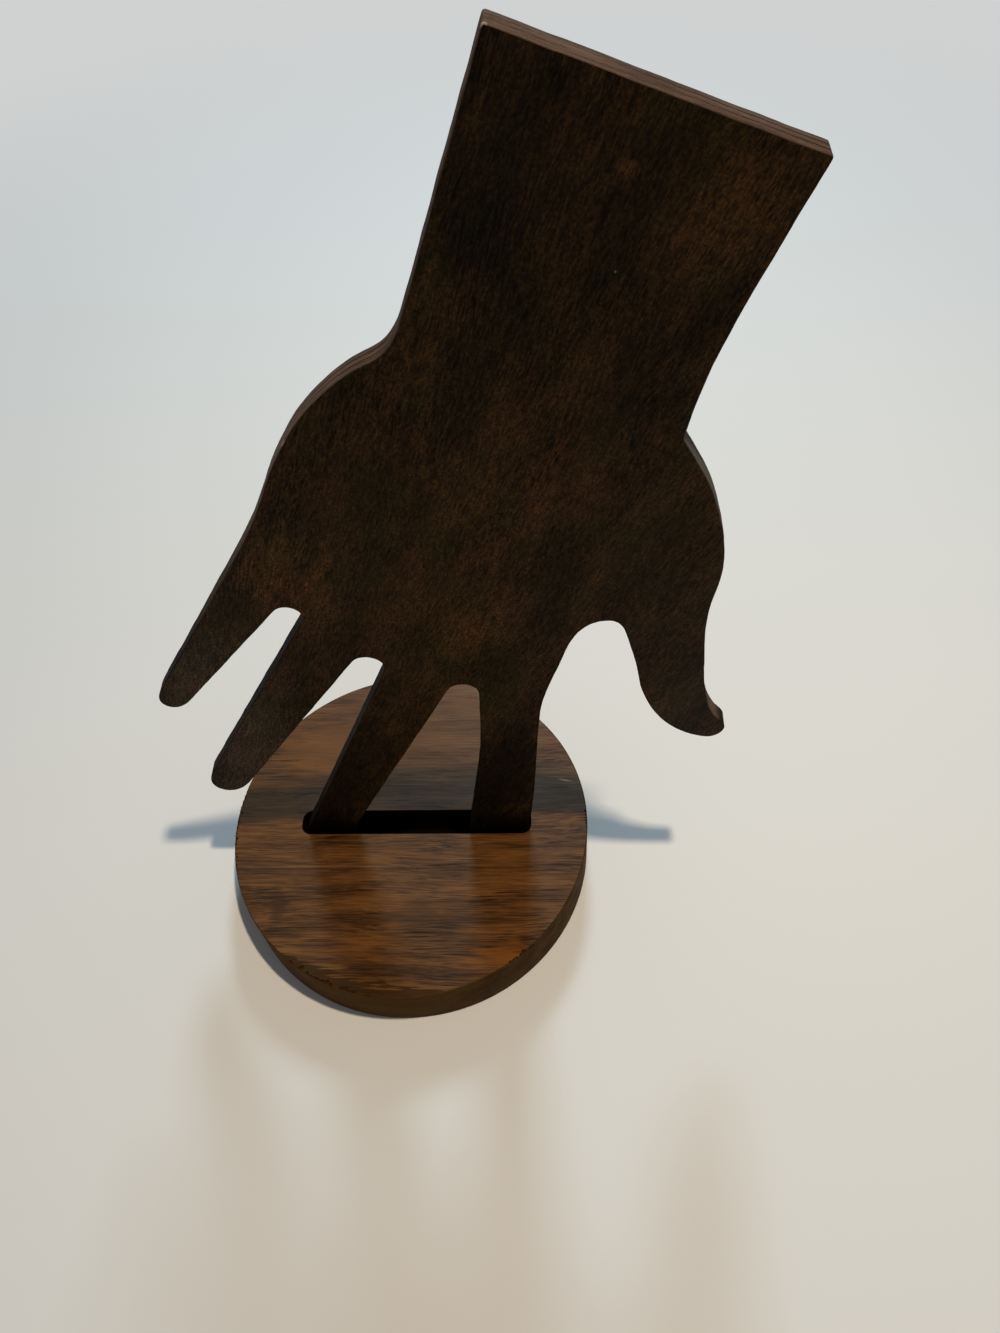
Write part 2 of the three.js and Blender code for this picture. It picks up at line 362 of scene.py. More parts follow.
@node_group(
    GEOMETRY_TREE, {"Outline": SHAPE, "Height": 1.6 * MM, "Lower Arris": 0.1 * MM, "Upper Arris": 0.4 * MM},
    {"Band": SHAPE})
def rounded_edge(bench, given):
    """The band round an outline, with a rounded arris below and above."""
    line = bench.geo("CurvePrimitiveLine")
    profile = bench.geo("ResampleCurve", Curve=line, Count=2 * ARC_POINTS, mode="COUNT")
    index = bench.geo("InputIndex")
    upper = bench.math("GREATER_THAN", index, ARC_POINTS - 0.5)
    step = bench.math("MODULO", index, ARC_POINTS)
    angle = bench.times(step, 0.5 * math.pi / (ARC_POINTS - 1))
    sine, cosine = bench.math("SINE", angle), bench.math("COSINE", angle)

    def pick(low, high):
        return bench.geo("Switch", upper, low, high, input_type="FLOAT")

    radius = pick(given["Lower Arris"], given["Upper Arris"])
    inset = bench.times(radius, bench.minus(1.0, pick(sine, cosine)))
    rise = bench.times(radius, bench.minus(1.0, pick(cosine, sine)))
    height = pick(rise, bench.minus(given["Height"], rise))
    place = bench.combine(Y=bench.times(height, -1.0))
    profile = bench.geo("SetPosition", Geometry=profile, Position=place)
    crown = bench.times(sine, bench.times(cosine, 2.0))
    arris = bench.times(crown, bench.over(radius, WORN_RADIUS), clamp=True)
    profile = stored(bench, stored(bench, profile, "arris", arris), "inset", inset)
    band = bench.geo("CurveToMesh", Curve=given["Outline"], Profile_Curve=profile)
    band = set_in(bench, band, mesh_field(bench, "inset"))
    band = bench.geo("SetShadeSmooth", Geometry=band, Shade_Smooth=True)
    return [stored(bench, band, "cut_edge", True, "BOOLEAN", "FACE")]


@node_group(GEOMETRY_TREE, {"Outline": SHAPE, "Inset": 0.1 * MM, "Height": 0.0}, {"Face": SHAPE})
def flat_face(bench, given):
    """The flat face inside an outline, set in by an arris and lifted to a height."""
    inner = set_in(bench, given["Outline"], given["Inset"])
    face = bench.geo("FillCurve", Curve=inner, mode="TRIANGLES")
    face = bench.geo("SetShadeSmooth", Geometry=face, Shade_Smooth=False)
    return [moved(bench, face, Z=given["Height"])]


def band_round(bench, outline, height, lower, upper):
    return bench.group(
        rounded_edge, Outline=outline, Height=height, Lower_Arris=lower, Upper_Arris=upper)["Band"]


def face_inside(bench, outline, inset, height=0.0):
    return bench.group(flat_face, Outline=outline, Inset=inset, Height=height)["Face"]


def slab(bench, outline, thickness, lower, upper):
    """A flat board inside an outline, with its lower and upper arris rounded."""
    band = band_round(bench, outline, thickness, lower, upper)
    top = face_inside(bench, outline, upper, thickness)
    return joined(bench, band, top, face_inside(bench, outline, lower))


# How the saw follows the outline: passes that ease its corners below a height, and where its wander begins
EASING_PASSES = 2
SHARP_ABOVE = 0.235
SHARP_FADE = 0.01
WANDER_DETAIL = 2.0
WANDER_LEVELS = (0.25, 0.75)
CLEAR_OF_SLOT = 22.0 * MM
FULL_WANDER = 34.0 * MM
UPRIGHT = (0.5 * math.pi, 0.0, 0.0)


@node_group(
    GEOMETRY_TREE,
    {"Geometry": SHAPE, "Back": 0.0, "Thickness": 1.6 * MM, "Back Arris": 0.1 * MM, "Front Arris": 0.4 * MM,
     "Point Spacing": 0.5 * MM, "Saw Wander": 0.2 * MM, "Wander Length": 9.0 * MM, "Seed": 0,
     "Face Finish": FINISH, "Edge Finish": FINISH},
    {"Geometry": SHAPE})
def sawn_ply(bench, given):
    """One ply of the hand: the drawn outline, followed by a saw that wanders a little inside it."""
    curve = bench.geo("MeshToCurve", Mesh=given["Geometry"])
    curve = bench.geo("ResampleCurve", Curve=curve, Length=given["Point Spacing"], mode="LENGTH")
    place = bench.geo("InputPosition")
    height = bench.split(place)["Y"]
    ease = bench.ramp(height, SHARP_ABOVE, SHARP_ABOVE - SHARP_FADE)
    eased = bench.geo(
        "BlurAttribute", Value=place, Iterations=EASING_PASSES, Weight=ease, data_type="FLOAT_VECTOR")
    curve = with_outward(bench, bench.geo("SetPosition", Geometry=curve, Position=eased))
    spot = bench.scaled(place, bench.over(1.0, given["Wander Length"]))
    spot = bench.vector("ADD", spot, bench.combine(Z=given["Seed"]))
    wander = bench.ramp(bench.noise(spot, detail=WANDER_DETAIL), *WANDER_LEVELS)
    held = bench.ramp(height, CLEAR_OF_SLOT, FULL_WANDER)
    depth = bench.times(bench.times(wander, held), given["Saw Wander"])
    curve = with_outward(bench, set_in(bench, curve, depth))
    run = bench.add("GeometryNodeSplineParameter").outputs["Length"]
    curve = stored(bench, curve, "edge_run", run)
    board = slab(bench, curve, given["Thickness"], given["Back Arris"], given["Front Arris"])
    back = bench.combine(Y=given["Back"])
    stood = bench.geo("Transform", Geometry=board, Translation=back, Rotation=UPRIGHT)
    return [finished(bench, stood, given)]


SLOT_CORNER_POINTS = 16
SLOT_POINT_SPACING = 0.5 * MM


@node_group(GEOMETRY_TREE, SLOT, {"Outline": SHAPE})
def slot_outline(bench, given):
    """The outline of the slot, wound so that its normals point into the slot."""
    length, width = given["Slot Length"], given["Slot Width"]
    outline = bench.geo("CurvePrimitiveQuadrilateral", Width=length, Height=width, mode="RECTANGLE")
    outline = bench.geo(
        "FilletCurve", Curve=outline, Radius=given["Slot Corner"], Count=SLOT_CORNER_POINTS, mode="POLY")
    outline = bench.geo("ResampleCurve", Curve=outline, Length=SLOT_POINT_SPACING, mode="LENGTH")
    outline = moved(bench, bench.geo("ReverseCurve", Curve=outline), X=given["Slot Middle"])
    return [stored(bench, with_outward(bench, outline), "in_slot", 1.0)]


# Where the rim is chipped: bearing from +X and spread in degrees, and share of the full depth
CHIPPED_SECTORS = (
    (183.0, 17.0, 0.46),
    (249.0, 19.0, 0.6),
    (-50.6, 5.0, 0.5),
    (1.0, 4.0, 0.55),
)
SPLINTER_WIDTH = 1.1 * MM
SPLINTER_LEVELS = (0.44, 0.64)
RIM = {"Radius": 60.0 * MM, "Points": 1080}
CHIPS = {"Chip Depth": 0.0, "Seed": 0}


@node_group(GEOMETRY_TREE, {**RIM, **CHIPS}, {"Outline": SHAPE})
def rim_outline(bench, given):
    """The round outline of a layer, with splinters broken out along the grain in its chipped sectors."""
    circle = bench.geo(
        "CurvePrimitiveCircle", Resolution=given["Points"], Radius=given["Radius"], mode="RADIUS")
    circle = with_outward(bench, circle)
    place = bench.geo("InputPosition")
    outward = bench.scaled(place, bench.over(1.0, given["Radius"]))
    share = 0.0
    for bearing, spread, depth in CHIPPED_SECTORS:
        turn = math.radians(bearing)
        towards = (math.cos(turn), math.sin(turn), 0.0)
        facing = bench.add("ShaderNodeVectorMath", outward, towards, operation="DOT_PRODUCT").outputs["Value"]
        near = bench.ramp(facing, math.cos(math.radians(spread)), 1.0, 0.0, depth)
        share = bench.math("MAXIMUM", share, near)
    line = bench.combine(Y=bench.over(bench.split(place)["Y"], SPLINTER_WIDTH), Z=given["Seed"])
    splinter = bench.ramp(bench.noise(line), *SPLINTER_LEVELS)
    depth = bench.times(bench.times(splinter, share), given["Chip Depth"])
    return [set_in(bench, stored(bench, circle, "chip", depth), mesh_field(bench, "chip"))]


LAYER = {
    "Geometry": SHAPE, "Bottom": 0.0, "Thickness": 0.6 * MM, "Lower Arris": 0.05 * MM,
    "Upper Arris": 0.05 * MM, "Face Finish": FINISH, "Edge Finish": FINISH, **RIM, **SLOT,
}


@node_group(GEOMETRY_TREE, {**LAYER, **CHIPS, "Slotted": True}, {"Geometry": SHAPE})
def face_veneer(bench, given):
    """A face veneer: a thin disc with chipped rims, cut through by the slot where it is slotted."""
    rim = bench.group(rim_outline, **passed(given, {**RIM, **CHIPS}))["Outline"]
    both = joined(bench, rim, bench.group(slot_outline, **passed(given, SLOT))["Outline"])
    outline = bench.geo("Switch", given["Slotted"], rim, both, input_type="GEOMETRY")
    layer = slab(bench, outline, given["Thickness"], given["Lower Arris"], given["Upper Arris"])
    return [finished(bench, moved(bench, layer, Z=given["Bottom"]), given)]


@node_group(GEOMETRY_TREE, {**LAYER, "Slot Depth": 11.4 * MM}, {"Geometry": SHAPE})
def core_board(bench, given):
    """The core of the base: a thick disc with the blind slot in its top."""
    thickness, lower, upper = given["Thickness"], given["Lower Arris"], given["Upper Arris"]
    rim = bench.group(rim_outline, **passed(given, RIM))["Outline"]
    slot = bench.group(slot_outline, **passed(given, SLOT))["Outline"]
    edge = band_round(bench, rim, thickness, lower, upper)
    wall = band_round(bench, slot, given["Slot Depth"], 0.0, upper)
    floor = stored(bench, face_inside(bench, slot, 0.0), "cut_edge", True, "BOOLEAN", "FACE")
    floor = stored(bench, floor, "in_slot", 1.0)
    pocket = moved(bench, joined(bench, wall, floor), Z=bench.minus(thickness, given["Slot Depth"]))
    top = face_inside(bench, joined(bench, rim, slot), upper, thickness)
    board = joined(bench, edge, pocket, top, face_inside(bench, rim, lower))
    return [finished(bench, moved(bench, board, Z=given["Bottom"]), given)]


# Shader node groups

# Grain: size of its drift, levels of noise between which each layer goes from dark to light, the fibres' and
# pores' sizes as shares of a streak's, and how much they count
DRIFT_RUN = 45.0
DRIFT_WIDTH = 18.0
BAND_LEVELS = (0.32, 0.68)
STREAK_LEVELS = (0.39, 0.61)
STREAK_RELIEF = 0.5
FIBRE_LEVELS = (0.36, 0.64)
FIBRE_RUN = 0.4
FIBRE_WIDTH = 0.45
FIBRE_SHARE = 0.4
PORE_LEVELS = (0.54, 0.64)
PORE_CLUSTER_LEVELS = (0.38, 0.62)
PORE_WIDTH = 0.7
PORE_DARKNESS = 0.75
PORE_SHIFT = (31.0, 17.0, 23.0)


@node_group(
    SHADER_TREE,
    {"Vector": POINT, "Light": COLOUR, "Dark": COLOUR, "Band Width": 6.0, "Band Length": 90.0,
     "Streak Width": 0.7, "Streak Length": 22.0, "Streaks": 0.4, "Pores": 0.4, "Waviness": 1.0},
    {"Color": COLOUR, "Height": VALUE, "Pattern": VALUE})
def stained_grain(bench, given):
    """Stained wood on millimetres, with X along the grain: long bands, fine streaks and short dark pores."""
    streak_run, streak_width = given["Streak Length"], given["Streak Width"]

    def figure(vector, run, width, **settings):
        across = bench.over(1.0, width)
        scale = bench.combine(X=bench.over(1.0, run), Y=across, Z=across)
        return bench.noise(bench.vector("MULTIPLY", vector, scale), **settings)

    drift = bench.minus(figure(given["Vector"], DRIFT_RUN, DRIFT_WIDTH, detail=1.0), 0.5)
    drift = bench.times(drift, given["Waviness"])
    swayed = bench.vector("ADD", given["Vector"], bench.combine(Y=drift, Z=drift))
    bands = bench.ramp(figure(swayed, given["Band Length"], given["Band Width"]), *BAND_LEVELS)
    streaks = figure(swayed, streak_run, streak_width, detail=3.0, roughness=0.65)
    streaks = bench.ramp(streaks, *STREAK_LEVELS)
    fibre_run, fibre_width = bench.times(streak_run, FIBRE_RUN), bench.times(streak_width, FIBRE_WIDTH)
    fibres = bench.ramp(figure(swayed, fibre_run, fibre_width, detail=1.0), *FIBRE_LEVELS)
    fine = bench.mix(FIBRE_SHARE, streaks, fibres, kind="FLOAT")
    share = bench.mix(given["Streaks"], bands, fine, kind="FLOAT")
    aside = bench.vector("ADD", swayed, PORE_SHIFT)
    pores = bench.ramp(figure(aside, streak_run, bench.times(streak_width, PORE_WIDTH)), *PORE_LEVELS)
    cluster = bench.ramp(figure(aside, streak_run, given["Band Width"]), *PORE_CLUSTER_LEVELS)
    cut = bench.times(bench.times(pores, cluster), given["Pores"])
    tone = bench.mix(share, given["Dark"], given["Light"])
    colour = bench.mix(cut, tone, bench.mix(PORE_DARKNESS, tone, BLACK))
    return [colour, bench.minus(bench.times(streaks, STREAK_RELIEF), cut), share]


# A soft patch is full within the smaller share of its half size, and gone past the larger one
PATCH_FADE = (1.05, 0.35)
PATCH_RAGS_PER_MM = (0.12, 0.5, 0.5)


@node_group(
    SHADER_TREE, {"Vector": POINT, "Centre": POINT, "Size": POINT, "Ragged": 0.5, "Strength": 1.0},
    {"Mask": VALUE})
def soft_patch(bench, given):
    """A ragged soft patch round a point, such as a mark in the figure of the wood."""
    offset = bench.vector("SUBTRACT", given["Vector"], given["Centre"])
    reach = bench.length(bench.vector("DIVIDE", offset, given["Size"]))
    rough = bench.noise(bench.vector("MULTIPLY", given["Vector"], PATCH_RAGS_PER_MM), detail=3.0)
    rough = bench.times(bench.minus(rough, 0.5), given["Ragged"])
    mask = bench.ramp(bench.plus(reach, bench.times(rough, 2.0)), *PATCH_FADE)
    return [bench.times(mask, given["Strength"])]


RUBBED_LEVELS = (0.46, 0.66)


@node_group(
    SHADER_TREE, {"Vector": POINT, "Arris": 0.0, "Amount": 0.5, "Patch Size": 4.0}, {"Mask": VALUE})
def arris_wear(bench, given):
    """Where the rounded arrises are rubbed, patchily, from the arris value of the mesh."""
    spot = bench.scaled(given["Vector"], bench.over(1.0, given["Patch Size"]))
    patches = bench.ramp(bench.noise(spot, detail=3.0, roughness=0.6), *RUBBED_LEVELS)
    return [bench.times(bench.times(given["Arris"], patches), given["Amount"], clamp=True)]


GLOSS_SPOTS_PER_MM = 0.07


@node_group(
    SHADER_TREE, {"Vector": POINT, "Pattern": 0.5, "Roughness": 0.5, "Drift": 0.1}, {"Roughness": VALUE})
def handled_gloss(bench, given):
    """Roughness that drifts from spot to spot, as on a surface that is handled and dusted."""
    spots = bench.noise(bench.scaled(given["Vector"], GLOSS_SPOTS_PER_MM), detail=4.0)
    both = bench.plus(bench.minus(spots, 0.5), bench.minus(0.5, given["Pattern"]))
    return [bench.plus(given["Roughness"], bench.times(both, given["Drift"]), clamp=True)]


# Materials

# Grain of each finish, by the names of the grain group's inputs
GRAIN_SIZES = ("Band Width", "Band Length", "Streak Width", "Streak Length", "Streaks", "Pores", "Waviness")
GRAINS = {
    "top": (5.0, 38.0, 0.50, 17.0, 0.62, 0.9, 4.0),
    "under": (7.0, 90.0, 0.8, 24.0, 0.45, 0.5, 3.0),
    "rim": (5.0, 24.0, 0.7, 5.0, 0.5, 0.4, 2.0),
    "core": (2.0, 6.0, 0.4, 2.0, 0.5, 0.2, 1.0),
    "hand": (10.0, 30.0, 0.46, 3.4, 0.72, 0.8, 5.0),
    "ply": (0.9, 14.0, 0.22, 2.5, 0.5, 0.5, 0.4),
}
# Polish of each finish: roughness, its drift, specular level, and the raised grain's strength and depth
POLISH = {
    "top": (0.54, 0.12, 0.36, 0.35, 0.04 * MM),
    "under": (0.55, 0.15, 0.5, 0.4, 0.04 * MM),
    "rim": (0.55, 0.12, 0.01, 0.3, 0.04 * MM),
    "core": (0.8, 0.1, 0.01, 0.0, 0.0),
    "hand": (0.56, 0.16, 0.04, 0.5, 0.05 * MM),
    "ply": (0.65, 0.12, 0.02, 0.5, 0.05 * MM),
}


class Material(Bench):
    """The bench of one procedural material."""

    def __init__(self, name):
        self.material = bpy.data.materials.new(name)
        self.material.use_nodes = True
        super().__init__(self.material.node_tree)
        self.tree.nodes.clear()
        self.shader = self.add("ShaderNodeBsdfPrincipled")
        self.output = self.add("ShaderNodeOutputMaterial", Surface=self.shader.outputs[0])

    def look(self, **values):
        for name, value in values.items():
            self.feed(self.shader.inputs[name.replace("_", " ")], value)

    def millimetres(self, turn=ORIGIN, shift=ORIGIN):
        """Object coordinates in millimetres, turned and shifted."""
        coordinates = self.add("ShaderNodeTexCoord").outputs["Object"]
        return self.out(
            "ShaderNodeMapping", Vector=coordinates, Location=shift, Rotation=turn, Scale=(1.0 / MM,) * 3,
            vector_type="POINT")

    def mesh_value(self, name):
        return self.add("ShaderNodeAttribute", attribute_name=name, attribute_type="GEOMETRY").outputs["Fac"]


class Finish(Material):
    """A wood finish, laid out so that X runs along the grain."""

    def __init__(self, name, kind, turn=ORIGIN, shift=ORIGIN):
        super().__init__(name)
        self.kind = kind
        self.place = self.millimetres(turn, shift)

    def stained(self, light, dark, place=None):
        """The colour of the stained grain."""
        sizes = dict(zip(GRAIN_SIZES, GRAINS[self.kind]))
        self.grain = self.group(stained_grain, Vector=place or self.place, Light=light, Dark=dark, **sizes)
        return self.grain["Color"]

    def rubbed(self, amount, size):
        arris = self.mesh_value("arris")
        return self.group(arris_wear, Vector=self.place, Arris=arris, Amount=amount, Patch_Size=size)["Mask"]

    def patch(self, centre, size, ragged=0.3, strength=1.0, place=None):
        return self.group(
            soft_patch, Vector=place or self.place, Centre=centre, Size=size, Ragged=ragged,
            Strength=strength)["Mask"]

    def marked(self, colour, marks, tones):
        """Lays soft patches of named tones over a colour."""
        for tone, strength, ragged, centre, size in marks:
            colour = self.mix(self.patch(centre, size, ragged, strength), colour, tones[tone])
        return colour

    def polished(self, colour, dulling=None):
        """The material with its colour, and with the gloss and the raised grain of its kind."""
        roughness, drift, specular, strength, depth = POLISH[self.kind]
        height, pattern = self.grain["Height"], self.grain["Pattern"]
        gloss = self.group(
            handled_gloss, Vector=self.place, Pattern=pattern, Roughness=roughness, Drift=drift)["Roughness"]
        if dulling is not None:
            gloss = self.plus(gloss, dulling, clamp=True)
        self.look(Base_Color=colour, Roughness=gloss, Specular_IOR_Level=specular)
        if strength:
            self.look(Normal=self.out("ShaderNodeBump", Height=height, Strength=strength, Distance=depth))
        return self.material


# Half size of a patch through the wood, and height of the base's top, in millimetres
DEEP = 30.0
TOP_HEIGHT = 20.0
# Marks on the top veneer: tone, strength, raggedness, and centre and half size in X and Y in millimetres.
# Some of them are painted shadow, light and sheen, as noted beside them.
TOP_MARKS_AND_PAINTED_LIGHT = (
    ("dark", 0.62, 1.6, (-41.8, -29.5), (3.2, 8.0)),
    ("dark", 0.60, 0.6, (-36.5, -40.5), (8.5, 0.9)),
    ("dark", 0.45, 0.7, (-28.0, -43.5), (9.0, 1.3)),
    ("dark", 0.50, 0.9, (2.0, -34.0), (34.0, 3.6)),
    ("dark", 0.38, 0.9, (4.0, -52.0), (26.0, 3.4)),
    ("dark", 0.40, 0.9, (-33.0, -11.5), (6.0, 3.5)),
    ("orange", 0.45, 0.9, (33.0, -47.0), (13.0, 5.0)),
    ("warm", 0.45, 0.7, (-8.0, -28.5), (18.0, 3.0)),
    ("warm", 0.50, 0.7, (17.0, 48.0), (8.0, 4.0)),
    # painted light: lifts the far left of the top and the left end of the hand's shadow strip
    ("warm", 0.52, 0.7, (-30.0, 30.0), (26.0, 14.0)),
    ("warm", 0.30, 0.7, (-48.0, 5.0), (15.0, 8.0)),
    # painted shadow: the hand's shadow strip behind the slot, deepened in the middle and to the right
    ("dark", 0.34, 0.7, (10.0, 9.0), (26.0, 7.0)),
    ("dark", 0.62, 0.7, (49.0, 8.5), (20.0, 8.0)),
    ("light", 0.42, 0.35, (-30.0, -16.4), (34.0, 0.8)),
    ("light", 0.40, 0.40, (-22.5, -50.4), (7.5, 1.3)),
    ("light", 0.35, 0.40, (-36.0, -45.0), (9.0, 1.4)),
    ("warm", 0.55, 0.40, (1.0, -56.6), (15.0, 1.9)),
    # painted shade in the middle finger's shadow streak, and painted light in the index finger's
    ("dark", 0.22, 0.60, (-21.0, -19.0), (10.0, 11.0)),
    ("warm", 0.30, 0.60, (33.0, -18.0), (11.0, 9.0)),
    ("dark", 0.50, 0.35, (0.0, -17.0), (66.0, 0.65)),
    ("dark", 0.75, 0.2, (-33.0, 41.6), (11.0, 0.75)),
    # painted sheen: the milky sheen between the standing fingers' shadow streaks
    ("light", 0.11, 0.5, (3.0, -23.0), (16.0, 8.5)),
    ("plain", 0.50, 0.4, (6.0, 40.0), (62.0, 27.0)),
)
TOP_TONES = {
    "dark": (0.026, 0.0105, 0.0036),
    "warm": (0.160, 0.0625, 0.0140),
    "light": (0.21, 0.105, 0.040),
    "orange": (0.235, 0.078, 0.0125),
    "plain": (0.094, 0.0385, 0.0095),
}
TOP_SHEEN_TINT = (1.0, 0.89, 0.80)

# Stretch of the rim that has lost its colour: middle, half sizes, how far it reaches in, and its looks
WORN_RIM = (-16.0, -57.0, TOP_HEIGHT)
WORN_RIM_SIZE = (31.0, 22.0, DEEP)
WORN_RIM_LEAST = 1.7
WORN_RIM_MOST = 5.6
WORN_RIM_FADE = 0.5
WORN_RIM_SPLINTERS = (0.06, 1.3, 0.0)
WORN_RIM_LEVELS = (0.35, 0.65)
WORN_RIM_STRENGTH = 0.85
WORN_RIM_DULLING = 0.4
WORN_RIM_TONE = (0.026, 0.0124, 0.0036)
# painted light and shade on the rim's side along the same stretch: its size, strength and tone
RIM_LIGHT_AND_SHADE_SIZE = (48.0, 30.0, DEEP)
RIM_LIGHT_AND_SHADE_STRENGTH = 0.6
RIM_LIGHT_AND_SHADE_TONE = (0.073, 0.0335, 0.0036)
RIM_REACH = 59.5

# The pale scratch beside the slot: middle, turn in degrees, half sizes, raggedness and tone
SCRATCH_MIDDLE = (53.0, 15.7)
SCRATCH_TURN = -11.3
SCRATCH_SIZE = (4.2, 0.55, DEEP)
SCRATCH_RAGGED = 0.15
SCRATCH_TONE = (0.50, 0.40, 0.30)


def top_veneer_finish(base):
    """The top of the base: brown stained veneer with its grain along the slot and a semi-gloss coat."""
    work = Finish("stained_top_veneer", "top")
    marks = [
        (tone, strength, ragged, (*centre, TOP_HEIGHT), (*size, DEEP))
        for tone, strength, ragged, centre, size in TOP_MARKS_AND_PAINTED_LIGHT]
    colour = work.marked(work.stained(base.face_light, base.face_dark), marks, TOP_TONES)
    turn = math.radians(-SCRATCH_TURN)
    x, y = SCRATCH_MIDDLE
    back = (-(x * math.cos(turn) - y * math.sin(turn)), -(x * math.sin(turn) + y * math.cos(turn)), 0.0)
    beside = work.millimetres((0.0, 0.0, turn), back)
    scratch = work.patch(ORIGIN, SCRATCH_SIZE, SCRATCH_RAGGED, place=beside)
    colour = work.mix(scratch, colour, SCRATCH_TONE)
    rim_stretch = work.patch(WORN_RIM, WORN_RIM_SIZE)
    parts = work.split(work.place)
    splinters = work.vector("MULTIPLY", work.place, WORN_RIM_SPLINTERS)
    splinters = work.noise(splinters, detail=3.0, roughness=0.6)
    bitten = work.ramp(splinters, *WORN_RIM_LEVELS, WORN_RIM_LEAST, WORN_RIM_MOST)
    reach = work.length(work.combine(X=parts["X"], Y=parts["Y"]))
    reach = work.plus(reach, work.times(bitten, rim_stretch))
    worn = work.ramp(reach, RIM_REACH, RIM_REACH + WORN_RIM_FADE)
    colour = work.mix(work.times(worn, WORN_RIM_STRENGTH), colour, WORN_RIM_TONE)
    work.look(Specular_Tint=TOP_SHEEN_TINT)
    return work.polished(colour, work.times(worn, WORN_RIM_DULLING))


UNDER_SHIFT = (140.0, 60.0, 35.0)


def under_veneer_finish(base):
    """The underside of the base: the same veneer from another part of the sheet, matt."""
    work = Finish("stained_under_veneer", "under", shift=UNDER_SHIFT)
    return work.polished(work.stained(base.face_light, base.face_dark))


RIM_WEAR = 0.32
RIM_WEAR_SIZE = 7.0
RIM_WEAR_TONE = (0.20, 0.098, 0.042)
CHIP_DEPTHS = (0.05 * MM, 0.35 * MM)
CHIP_LIGHT = (0.050, 0.0240, 0.0070)
CHIP_DARK = (0.028, 0.0134, 0.0039)
SLOT_SHADE_TONE = (0.0055, 0.0034, 0.0018)


def rim_finish(base):
    """The edge of the base and the inside of the slot: plain dark stain, rubbed on arrises, dark in chips,
    with painted shade in the slot and painted light and shade on the worn stretch.
    """
    work = Finish("stained_rim", "rim")
    # painted light and shade: along the worn stretch the rim's side takes a warmer, less blue tone, and its
    # rubbing is held back
    rim_stretch = work.patch(WORN_RIM, RIM_LIGHT_AND_SHADE_SIZE)
    wear = work.times(work.rubbed(RIM_WEAR, RIM_WEAR_SIZE), work.minus(1.0, rim_stretch))
    colour = work.mix(wear, work.stained(base.edge_light, base.edge_dark), RIM_WEAR_TONE)
    colour = work.mix(work.times(rim_stretch, RIM_LIGHT_AND_SHADE_STRENGTH), colour, RIM_LIGHT_AND_SHADE_TONE)
    colour = work.mix(work.ramp(work.mesh_value("chip"), *CHIP_DEPTHS), colour, CHIP_DARK)
    # painted shade: the slot's walls and floor are near black
    colour = work.mix(work.mesh_value("in_slot"), colour, SLOT_SHADE_TONE)
    return work.polished(colour)


def core_face_finish():
    """The faces of the core, seen only where a chip of the veneer opens them: board darkened by the stain."""
    work = Finish("stained_core_face", "core")
    return work.polished(work.stained(CHIP_LIGHT, CHIP_DARK))


# Marks on the hand's faces: tone, strength, raggedness, centre in X and Z, half size along and across grain.
# Some of them are painted shade and sheen, as noted beside them.
FACE_MARKS_AND_PAINTED_LIGHT = (
    ("dark", 0.84, 0.9, (58.0, 230.0), (62.0, 40.0)),
    ("black", 0.85, 1.0, (43.0, 254.0), (34.0, 18.0)),
    ("dark", 0.60, 0.9, (4.0, 173.0), (28.0, 12.0)),
    ("dark", 0.45, 0.9, (66.0, 140.0), (30.0, 14.0)),
    # painted shade: darkens the two standing fingers
    ("black", 0.95, 0.8, (30.0, 52.0), (48.0, 18.0)),
    ("black", 0.85, 0.8, (-16.0, 56.0), (50.0, 17.0)),
    # painted sheen: the grey marks on the little finger, the ring finger and the thumb's tip are lighter and
    # greyer
    ("grey", 0.75, 0.6, (-44.0, 108.0), (34.0, 15.0)),
    ("grey", 0.75, 0.6, (-42.0, 68.0), (46.0, 14.0)),
    ("grey", 0.25, 0.6, (86.0, 94.0), (30.0, 16.0)),
    ("dark", 0.30, 0.6, (90.0, 92.0), (22.0, 12.0)),
    ("warm", 1.00, 0.9, (-13.0, 154.0), (18.0, 14.0)),
    ("warm", 0.15, 0.9, (50.0, 208.0), (26.0, 12.0)),
    ("warm", 0.42, 0.9, (36.0, 160.0), (48.0, 11.0)),
    ("warm", 0.42, 0.9, (26.0, 128.0), (22.0, 13.0)),
    ("warm", 0.35, 0.9, (80.0, 236.0), (16.0, 9.0)),
    ("warm", 0.35, 1.2, (63.8, 247.0), (1.5, 2.4)),
    ("crack_and_shade", 0.80, 0.3, (59.9, 240.5), (6.5, 0.8)),
    ("pale", 0.60, 0.1, (61.7, 229.2), (0.36, 0.26)),
    # painted shade: near black at the foot of both standing fingers, where they go into the slot
    ("crack_and_shade", 0.90, 0.2, (-26.0, 17.0), (20.0, 20.0)),
    ("crack_and_shade", 0.90, 0.2, (33.0, 17.0), (20.0, 20.0)),
)
# Tones of these marks, as shares of the stain or as plain colours
STAIN_SHARES = {
    "dark": (0.58, 0.60, 0.58),
    "black": (0.37, 0.41, 0.45),
    "grey": (1.48, 1.85, 3.30),
    "warm": (2.22, 1.90, 2.05),
}
FACE_TONES = {"crack_and_shade": (0.0014, 0.0009, 0.0004), "pale": (0.24, 0.17, 0.11)}

# Mottle and flecks of the stain: sizes, levels, and the darkest and palest share of the stain
MOTTLES_PER_MM = (0.045, 0.09, 0.09)
FLECKS_PER_MM = 1.25
STAIN_LEVELS = (0.36, 0.64)
MOTTLE_SHARES = ((0.74, 0.86, 0.70), (1.26, 1.12, 1.20))
FLECK_SHARES = ((0.62, 0.62, 0.64), (1.36, 1.36, 1.32))


